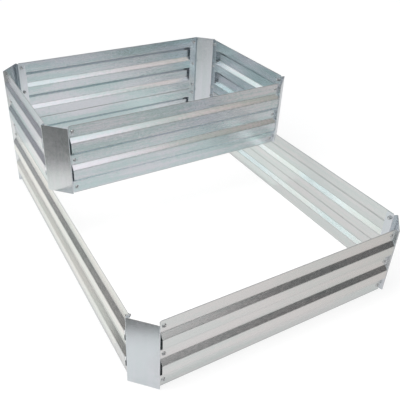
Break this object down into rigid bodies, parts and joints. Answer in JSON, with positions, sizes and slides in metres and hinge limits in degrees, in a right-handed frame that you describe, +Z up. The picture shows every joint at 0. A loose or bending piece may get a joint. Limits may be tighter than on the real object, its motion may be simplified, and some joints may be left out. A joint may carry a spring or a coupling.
{
  "type": "raised garden bed",
  "caption": "Bottomless two-tier garden bed of galvanised corrugated panels with bevelled corners, a half-depth upper tier at the back.",
  "frame": {"origin": "middle of the lower tier's plan, on the ground", "axes": "+Z up, the front of the bed (the side with the low tier) faces -Y, +X is to the right seen from the front"},
  "size_m": [0.924, 1.224, 0.476],
  "materials": {
    "galvanised_sheet": "satin",
    "zinc_plated_fasteners": "satin"
  },
  "bodies": {
    "root": {"lower_front_panel": "galvanised_sheet", "lower_right_panel": "galvanised_sheet", "lower_back_panel": "galvanised_sheet", "lower_left_panel": "galvanised_sheet", "upper_front_panel": "galvanised_sheet", "upper_right_panel": "galvanised_sheet", "upper_back_panel": "galvanised_sheet", "upper_left_panel": "galvanised_sheet", "lower_front_left_plate": "galvanised_sheet", "lower_front_left_bolts": "zinc_plated_fasteners", "lower_front_left_washers": "zinc_plated_fasteners", "lower_front_left_nuts": "zinc_plated_fasteners", "lower_front_right_plate": "galvanised_sheet", "lower_front_right_bolts": "zinc_plated_fasteners", "lower_front_right_washers": "zinc_plated_fasteners", "lower_front_right_nuts": "zinc_plated_fasteners", "upper_front_left_plate": "galvanised_sheet", "upper_front_left_bolts": "zinc_plated_fasteners", "upper_front_left_washers": "zinc_plated_fasteners", "upper_front_left_nuts": "zinc_plated_fasteners", "upper_front_right_plate": "galvanised_sheet", "upper_front_right_bolts": "zinc_plated_fasteners", "upper_front_right_washers": "zinc_plated_fasteners", "upper_front_right_nuts": "zinc_plated_fasteners", "back_right_plate": "galvanised_sheet", "back_right_bolts": "zinc_plated_fasteners", "back_right_washers": "zinc_plated_fasteners", "back_right_nuts": "zinc_plated_fasteners", "back_left_plate": "galvanised_sheet", "back_left_bolts": "zinc_plated_fasteners", "back_left_washers": "zinc_plated_fasteners", "back_left_nuts": "zinc_plated_fasteners"}
  },
  "joints": []
}
